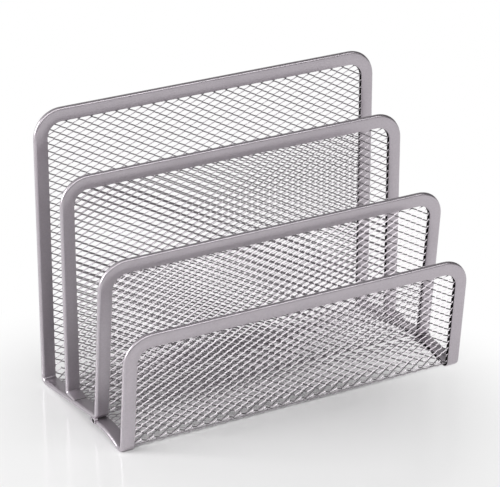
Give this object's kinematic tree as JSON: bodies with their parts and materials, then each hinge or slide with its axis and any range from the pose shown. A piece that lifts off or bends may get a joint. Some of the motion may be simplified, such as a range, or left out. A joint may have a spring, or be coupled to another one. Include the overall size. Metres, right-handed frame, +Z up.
{
  "type": "letter holder",
  "caption": "Desk letter holder of silver expanded mesh panels in folded strip rims, stepped up towards the back, with open pockets for letters and envelopes.",
  "frame": {"origin": "bottom centre of the bounding box, on the surface that the holder stands on", "axes": "+X along the panels to the right as seen from the front, +Y from the low front panel to the tall back panel, +Z up"},
  "size_m": [0.175, 0.086, 0.1317],
  "materials": {
    "rim_paint": "semi-gloss metallic silver paint",
    "mesh_paint": "semi-gloss metallic silver paint on expanded steel"
  },
  "bodies": {
    "root": {"front_rim": "rim_paint", "left_front_rail": "rim_paint", "right_front_rail": "rim_paint", "front_divider_rim": "rim_paint", "left_base_rail": "rim_paint", "right_base_rail": "rim_paint", "rear_divider_rim": "rim_paint", "back_rim": "rim_paint", "front_mesh": "mesh_paint", "front_base_mesh": "mesh_paint", "front_divider_mesh": "mesh_paint", "base_mesh": "mesh_paint", "rear_divider_mesh": "mesh_paint", "back_mesh": "mesh_paint"}
  },
  "joints": []
}
